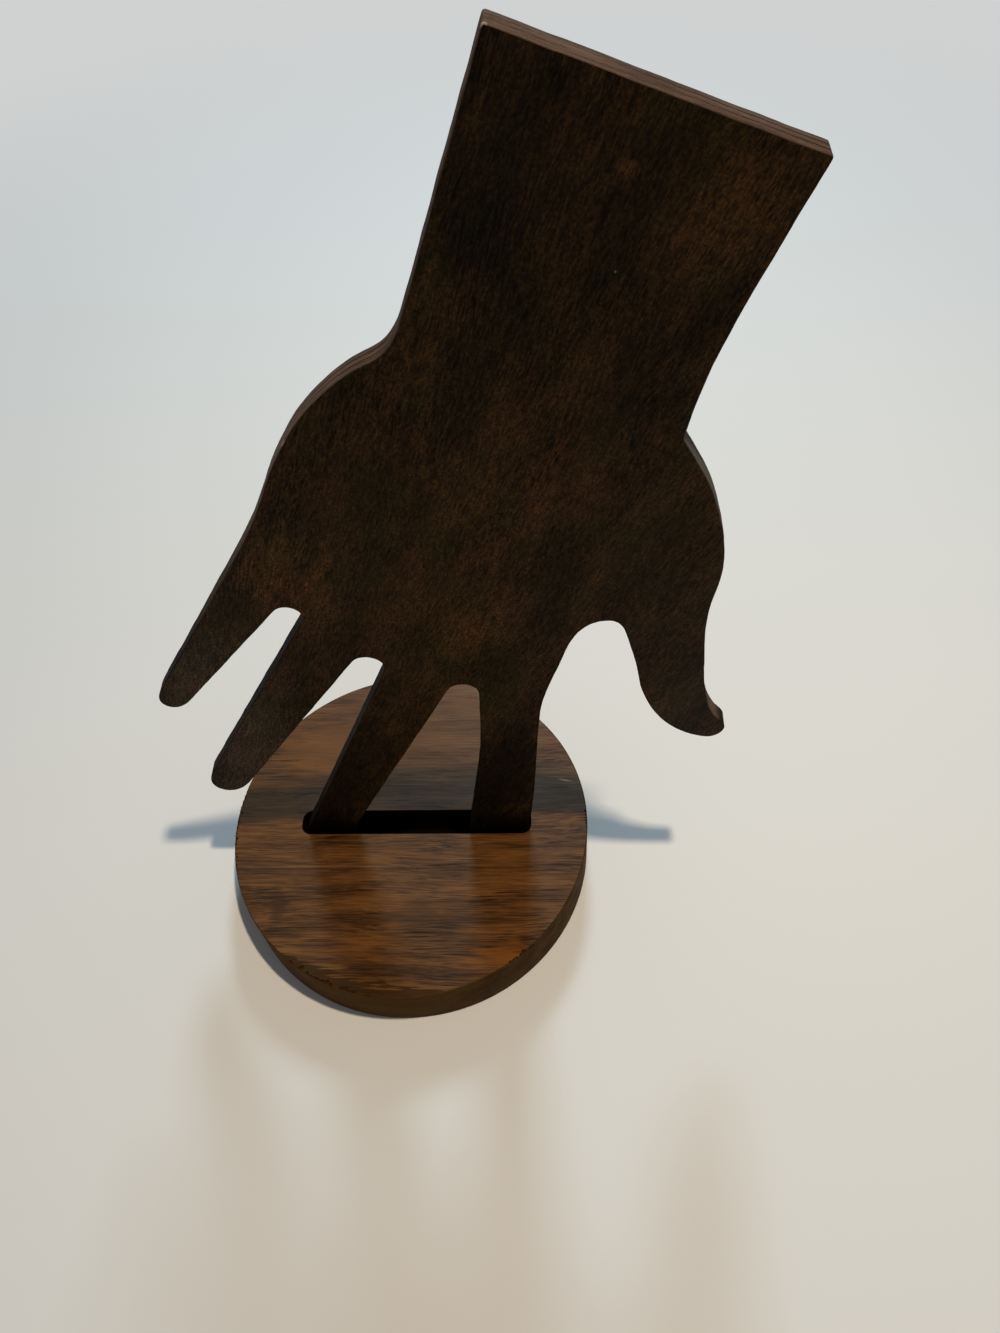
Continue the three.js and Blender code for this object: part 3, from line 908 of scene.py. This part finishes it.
def along_hand_grain(x, z):
    """A place on the hand's panel as its distances along and across the grain, in millimetres."""
    lean = math.radians(HAND_GRAIN_LEAN)
    return (x * math.sin(lean) + z * math.cos(lean), 0.0, z * math.sin(lean) - x * math.cos(lean))


def hand_face_finish(hand):
    """The faces of the hand: veneer under a dark matt stain, with its grain along the forearm."""
    work = Finish("stained_hand_face", "hand", (0.0, math.radians(90.0 - HAND_GRAIN_LEAN), 0.0))
    mottle = work.noise(work.vector("MULTIPLY", work.place, MOTTLES_PER_MM), detail=3.0, roughness=0.6)
    flecks = work.noise(work.place, scale=FLECKS_PER_MM, detail=2.0, roughness=0.7)
    stain = work.stained(hand.stain_light, hand.stain_dark)
    for pattern, shares in ((mottle, MOTTLE_SHARES), (flecks, FLECK_SHARES)):
        stain = work.tinted(stain, work.mix(work.ramp(pattern, *STAIN_LEVELS), *shares))
    tones = {tone: work.tinted(stain, share) for tone, share in STAIN_SHARES.items()}
    marks = [
        (tone, strength, ragged, along_hand_grain(*centre), (size[0], DEEP, size[1]))
        for tone, strength, ragged, centre, size in FACE_MARKS_AND_PAINTED_LIGHT]
    return work.polished(work.marked(stain, marks, {**tones, **FACE_TONES}))


# Sawn edges of the hand, in millimetres: glue lines, where the end is sanded clean of them, the height below
# which the edges grow darker towards the fingers, and the pale stretch along the palm
GLUE_FADE = (0.17, 0.06)
SANDED_END = (42.0, 0.0, 264.0)
SANDED_END_SIZE = (38.0, DEEP, 34.0)
DARKER_BELOW = 165.0
DARKER_FADE = 45.0
DARKER_STRENGTH = 0.88
PALM_EDGE = (4.0, 0.0, 184.0)
PALM_EDGE_SIZE = (34.0, DEEP, 26.0)
PALM_EDGE_STRENGTH = 0.42
PALM_EDGE_TONE = (0.150, 0.108, 0.092)
PLY_WEAR = 0.6
PLY_WEAR_SIZE = 9.0
PLY_WEAR_TONE = (0.120, 0.086, 0.068)
# Marks on these edges: tone, strength, raggedness, centre and half size
EDGE_MARKS = (
    ("chip", 0.8, 0.3, (-4.5, -2.2, 192.4), (1.3, 0.7, 1.3)),
    ("chip", 0.8, 0.3, (41.6, -2.3, 269.2), (0.8, 0.5, 0.6)),
    ("rubbed", 0.9, 0.2, (95.5, 0.0, 91.5), (6.0, DEEP, 7.0)),
    ("grey", 0.7, 0.2, (81.0, 0.0, 184.0), (14.0, DEEP, 22.0)),
)
EDGE_TONES = {
    "chip": (0.26, 0.212, 0.185),
    "rubbed": (0.105, 0.066, 0.044),
    "grey": (0.072, 0.068, 0.056),
}


def ply_edge_finish(hand, name, tint, joint):
    """The sawn edge of a ply: thin stain over fibres, dark glue lines at its joints, pale where rubbed."""
    work = Finish(name, "ply")
    parts = work.split(work.place)
    run = work.over(work.mesh_value("edge_run"), MM)
    light, dark = (
        [part * share for part, share in zip(tone, tint)] for tone in (hand.edge_light, hand.edge_dark))
    stain = work.stained(light, dark, work.combine(X=run, Y=parts["Y"]))
    pale = work.patch(PALM_EDGE, PALM_EDGE_SIZE, strength=PALM_EDGE_STRENGTH)
    colour = work.mix(pale, stain, PALM_EDGE_TONE)
    colour = work.mix(work.rubbed(PLY_WEAR, PLY_WEAR_SIZE), colour, PLY_WEAR_TONE)
    from_joint = work.math("ABSOLUTE", work.minus(work.math("ABSOLUTE", parts["Y"]), joint))
    hidden = work.patch(SANDED_END, SANDED_END_SIZE)
    glue = work.times(work.ramp(from_joint, *GLUE_FADE), work.minus(1.0, hidden))
    colour = work.mix(glue, colour, hand.glue_tone)
    lower_darkening = work.ramp(parts["Z"], DARKER_BELOW, DARKER_BELOW - DARKER_FADE, 0.0, DARKER_STRENGTH)
    colour = work.mix(lower_darkening, colour, hand.stain_dark)
    return work.polished(work.marked(colour, EDGE_MARKS, EDGE_TONES))


# Building

def shared_rim_finish(base):
    return bpy.data.materials.get("stained_rim") or rim_finish(base)


def ply_outline(node):
    """The corners of a CAD ply's front face, anticlockwise, as (x, z)."""
    shape = bmesh.new()
    shape.from_mesh(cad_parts[node].data)
    bmesh.ops.remove_doubles(shape, verts=shape.verts, dist=MERGE_DISTANCE)
    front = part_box(node)[0].y

    def on_front(face):
        return all(abs(vertex.co.y - front) < MERGE_DISTANCE for vertex in face.verts)

    following = {
        loop.vert: loop.link_loop_next.vert for face in shape.faces if on_front(face) for loop in face.loops
        if not on_front(loop.link_loop_radial_next.face)}
    start = min(following, key=lambda vertex: (vertex.co.z, vertex.co.x))
    points, vertex = [], start
    while vertex is not start or not points:
        points.append((vertex.co.x, vertex.co.z))
        vertex = following[vertex]
    shape.free()
    if len(points) != len(following):
        raise RuntimeError(f"the front of {node} has more than one outline")
    return points


def outline_mesh(name, points):
    """A closed loop of edges in the XY plane."""
    mesh = bpy.data.meshes.new(name)
    edges = [(i, (i + 1) % len(points)) for i in range(len(points))]
    mesh.from_pydata([(x, y, 0.0) for x, y in points], edges, [])
    return mesh


def grown_piece(name, start, tree, values):
    """A plain mesh object, grown by a node tree from a starting mesh."""
    piece = bpy.data.objects.new(name, start)
    bpy.context.scene.collection.objects.link(piece)
    modifier = piece.modifiers.new("shape", "NODES")
    modifier.node_group = tree
    sockets = {
        item.name: item.identifier for item in tree.interface.items_tree
        if item.item_type == "SOCKET" and item.in_out == "INPUT"}
    for label, value in values.items():
        modifier[sockets[label]] = value
    bpy.context.view_layer.update()
    depsgraph = bpy.context.evaluated_depsgraph_get()
    mesh = bpy.data.meshes.new_from_object(
        piece.evaluated_get(depsgraph), preserve_all_data_layers=True, depsgraph=depsgraph)
    piece.modifiers.clear()
    piece.data = mesh
    mesh.name = name
    bpy.data.meshes.remove(start)
    close_mesh(mesh)
    return piece


def close_mesh(mesh):
    """Drops slivers, turns the faces outwards, and stops if the skin isn't closed."""
    shape = bmesh.new()
    shape.from_mesh(mesh)
    bmesh.ops.dissolve_degenerate(shape, edges=shape.edges, dist=MERGE_DISTANCE)
    bmesh.ops.recalc_face_normals(shape, faces=shape.faces)
    open_edges = sum(len(edge.link_faces) != 2 for edge in shape.edges)
    if open_edges or not shape.faces:
        raise RuntimeError(f"{mesh.name} has {open_edges} open edges and {len(shape.faces)} faces")
    shape.to_mesh(mesh)
    shape.free()


def placed(piece, body, node):
    """Puts a finished piece on its body in place of its CAD node."""
    low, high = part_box(node)
    for vertex in piece.data.vertices:
        for axis in range(3):
            if not low[axis] - BOX_TOLERANCE <= vertex.co[axis] <= high[axis] + BOX_TOLERANCE:
                raise RuntimeError(f"{piece.name} reaches out of the space of {node}")
    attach(piece, body)
    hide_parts(node)


class HANDSTAND_OT_saw_plies(bpy.types.Operator):
    """Saw the three plies of the hand from the outline of the CAD model"""

    bl_idname = "handstand.saw_plies"
    bl_label = "Saw the hand's plies"

    def execute(self, context):
        hand = context.scene.handstand_hand
        face = hand_face_finish(hand)
        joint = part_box("hand_core_ply")[1].y / MM
        for name, node, slot, outer_front, outer_back, edge, tint in PLIES:
            low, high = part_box(node)
            values = {
                "Back": high.y,
                "Thickness": high.y - low.y,
                "Back Arris": hand.arris_radius if outer_back else hand.joint_radius,
                "Front Arris": hand.arris_radius if outer_front else hand.joint_radius,
                "Point Spacing": hand.point_spacing,
                "Saw Wander": hand.saw_wander,
                "Wander Length": hand.wander_length,
                "Seed": hand.wander_seed,
                "Face Finish": face,
                "Edge Finish": ply_edge_finish(hand, edge, tint, joint),
            }
            piece = grown_piece(name, outline_mesh(name, ply_outline(node)), sawn_ply(), values)
            placed(piece, "hand", node)
        return {"FINISHED"}


def layer_values(base, node, lower_arris, upper_arris, face):
    """The tree inputs that every layer of the base has."""
    low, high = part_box(node)
    return {
        "Radius": high.x,
        "Points": base.rim_points,
        "Bottom": low.z,
        "Thickness": high.z - low.z,
        "Lower Arris": lower_arris,
        "Upper Arris": upper_arris,
        "Face Finish": face,
        "Edge Finish": shared_rim_finish(base),
        **SLOT,
    }


class HANDSTAND_OT_turn_core(bpy.types.Operator):
    """Turn the core of the base and cut its slot"""

    bl_idname = "handstand.turn_core"
    bl_label = "Turn the base's core"

    def execute(self, context):
        base = context.scene.handstand_base
        values = layer_values(base, "base_core", base.joint_radius, base.joint_radius, core_face_finish())
        values["Slot Depth"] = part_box("base_core")[1].z - SLOT_FLOOR
        piece = grown_piece("base_board", bpy.data.meshes.new("base_board"), core_board(), values)
        placed(piece, "base", "base_core")
        return {"FINISHED"}


class HANDSTAND_OT_lay_veneers(bpy.types.Operator):
    """Lay the two face veneers on the core of the base"""

    bl_idname = "handstand.lay_veneers"
    bl_label = "Lay the base's veneers"

    def execute(self, context):
        base = context.scene.handstand_base
        joint, rim = base.joint_radius, base.rim_radius
        top, under = top_veneer_finish(base), under_veneer_finish(base)
        layers = (
            ("base_veneer_top", "base_top_veneer", joint, rim, top, True, base.chip_depth),
            ("base_veneer_under", "base_bottom_veneer", rim, joint, under, False, 0.0),
        )
        for name, node, lower_arris, upper_arris, face, slotted, chip_depth in layers:
            values = layer_values(base, node, lower_arris, upper_arris, face)
            values.update({"Slotted": slotted, "Chip Depth": chip_depth, "Seed": base.chip_seed})
            piece = grown_piece(name, bpy.data.meshes.new(name), face_veneer(), values)
            placed(piece, "base", node)
        return {"FINISHED"}


# Lamps: place, size and tint, and what they aim at, in metres
LAMP_PLACE = (0.169, -0.043, 0.816)
LAMP_SIZE = (0.028, 0.028)
LAMP_TINT = (1.0, 0.83, 0.60)
WINDOW_PLACE = (0.05, 0.73, 0.70)
WINDOW_SIZE = (0.17, 0.24)
WINDOW_TINT = (0.63, 0.87, 1.0)
AIM = (0.02, 0.0, 0.08)


def area_lamp(name, place, size, power, tint):
    lamp = bpy.data.lights.new(name, "AREA")
    lamp.shape = "RECTANGLE"
    lamp.size, lamp.size_y = size
    lamp.energy = power
    lamp.color = tint
    holder = bpy.data.objects.new(name, lamp)
    holder.location = place
    holder.rotation_euler = (Vector(AIM) - Vector(place)).to_track_quat("-Z", "Y").to_euler()
    bpy.context.scene.collection.objects.link(holder)
    return holder


def photo_camera():
    """A camera where the photograph was taken from."""
    heading, tilt, roll = (math.radians(angle) for angle in (CAMERA_HEADING, CAMERA_TILT, CAMERA_ROLL))
    forward = Vector((
        math.sin(heading) * math.cos(tilt), math.cos(heading) * math.cos(tilt), -math.sin(tilt)))
    level = Vector((math.cos(heading), -math.sin(heading), 0.0))
    above = level.cross(forward)
    right = math.cos(roll) * level + math.sin(roll) * above
    up = math.cos(roll) * above - math.sin(roll) * level
    lens = bpy.data.cameras.new("photo_camera")
    lens.sensor_fit = "VERTICAL"
    lens.sensor_height = SENSOR_HEIGHT
    lens.lens = SENSOR_HEIGHT * FOCAL_PIXELS / IMAGE_HEIGHT
    lens.clip_start = NEAR_CLIP
    camera = bpy.data.objects.new("photo_camera", lens)
    turn = Matrix((right, up, -forward)).transposed().to_4x4()
    camera.matrix_world = Matrix.Translation(CAMERA_PLACE) @ turn
    bpy.context.scene.collection.objects.link(camera)
    bpy.context.scene.camera = camera


# Height on the unit sphere at which the pale walls begin to dim, and at which the ceiling is reached
WALL_TOP = 0.36
CEILING_FOOT = 0.56


def pale_surround(stage):
    """A room with pale walls and a dim ceiling."""
    world = bpy.data.worlds.new("pale_surround")
    world.use_nodes = True
    world.node_tree.nodes.clear()
    bench = Bench(world.node_tree)
    height = bench.split(bench.add("ShaderNodeTexCoord").outputs["Generated"])["Z"]
    strength = bench.ramp(height, WALL_TOP, CEILING_FOOT, stage.wall_strength, stage.ceiling_strength)
    room = bench.out("ShaderNodeBackground", Color=WHITE, Strength=strength)
    bench.add("ShaderNodeOutputWorld", Surface=room)
    bpy.context.scene.world = world


FLOOR_ROUGHNESS = 0.9
# Distances from the stand, in metres, between which the floor goes over into the plain far tone
FADE_START = 0.26
FADE_END = 0.72


def floor_finish(stage):
    """A plain matt floor that takes shadows near the stand and stays pale out to the horizon."""
    work = Material("pale_floor")
    work.look(Base_Color=stage.floor_tone, Roughness=FLOOR_ROUGHNESS, Specular_IOR_Level=0.0)
    far = work.out("ShaderNodeEmission", Color=stage.far_tone, Strength=1.0)
    away = work.length(work.add("ShaderNodeTexCoord").outputs["Object"])
    path = work.add("ShaderNodeLightPath").outputs
    seen = work.math("MAXIMUM", path["Is Camera Ray"], path["Is Glossy Ray"])
    seen = work.math("MAXIMUM", seen, path["Is Transmission Ray"])
    share = work.times(work.ramp(away, FADE_START, FADE_END), seen)
    surface = work.out("ShaderNodeMixShader", share, work.shader.outputs[0], far)
    work.feed(work.output.inputs["Surface"], surface)
    return work.material


class HANDSTAND_OT_set_stage(bpy.types.Operator):
    """Lay the floor, hang the lamps and set up the camera"""

    bl_idname = "handstand.set_stage"
    bl_label = "Set the stage"

    def execute(self, context):
        stage = context.scene.handstand_stage
        half = 0.5 * stage.floor_size
        mesh = bpy.data.meshes.new("floor")
        corners = [(-half, -half, 0), (half, -half, 0), (half, half, 0), (-half, half, 0)]
        mesh.from_pydata(corners, [], [(0, 1, 2, 3)])
        floor = bpy.data.objects.new("floor", mesh)
        mesh.materials.append(floor_finish(stage))
        context.scene.collection.objects.link(floor)
        lamp = area_lamp("overhead_lamp", LAMP_PLACE, LAMP_SIZE, stage.lamp_power, LAMP_TINT)
        lamp.visible_glossy = False
        area_lamp("window", WINDOW_PLACE, WINDOW_SIZE, stage.window_power, WINDOW_TINT)
        pale_surround(stage)
        photo_camera()
        context.scene.view_settings.view_transform = "Standard"
        return {"FINISHED"}


class HANDSTAND_PT_build(bpy.types.Panel):
    """Settings and build steps of the hand stand"""

    bl_idname = "HANDSTAND_PT_build"
    bl_label = "Hand stand"
    bl_space_type = "VIEW_3D"
    bl_region_type = "UI"
    bl_category = "Hand stand"

    def draw(self, context):
        scene = context.scene
        parts = (
            (scene.handstand_base, (HANDSTAND_OT_turn_core, HANDSTAND_OT_lay_veneers)),
            (scene.handstand_hand, (HANDSTAND_OT_saw_plies,)),
            (scene.handstand_stage, (HANDSTAND_OT_set_stage,)),
        )
        for settings, operators in parts:
            box = self.layout.box()
            for name in settings.__annotations__:
                box.prop(settings, name)
            for operator in operators:
                box.operator(operator.bl_idname)


CLASSES = (
    HandSettings, BaseSettings, StageSettings, HANDSTAND_OT_turn_core, HANDSTAND_OT_lay_veneers,
    HANDSTAND_OT_saw_plies, HANDSTAND_OT_set_stage, HANDSTAND_PT_build,
)


def register():
    for cls in CLASSES:
        bpy.utils.register_class(cls)
    bpy.types.Scene.handstand_hand = PointerProperty(type=HandSettings)
    bpy.types.Scene.handstand_base = PointerProperty(type=BaseSettings)
    bpy.types.Scene.handstand_stage = PointerProperty(type=StageSettings)


def unregister():
    del bpy.types.Scene.handstand_stage
    del bpy.types.Scene.handstand_base
    del bpy.types.Scene.handstand_hand
    for cls in reversed(CLASSES):
        bpy.utils.unregister_class(cls)


def main():
    register()
    bpy.ops.handstand.turn_core()
    bpy.ops.handstand.lay_veneers()
    bpy.ops.handstand.saw_plies()
    bpy.ops.handstand.set_stage()


if __name__ == "__main__":
    main()
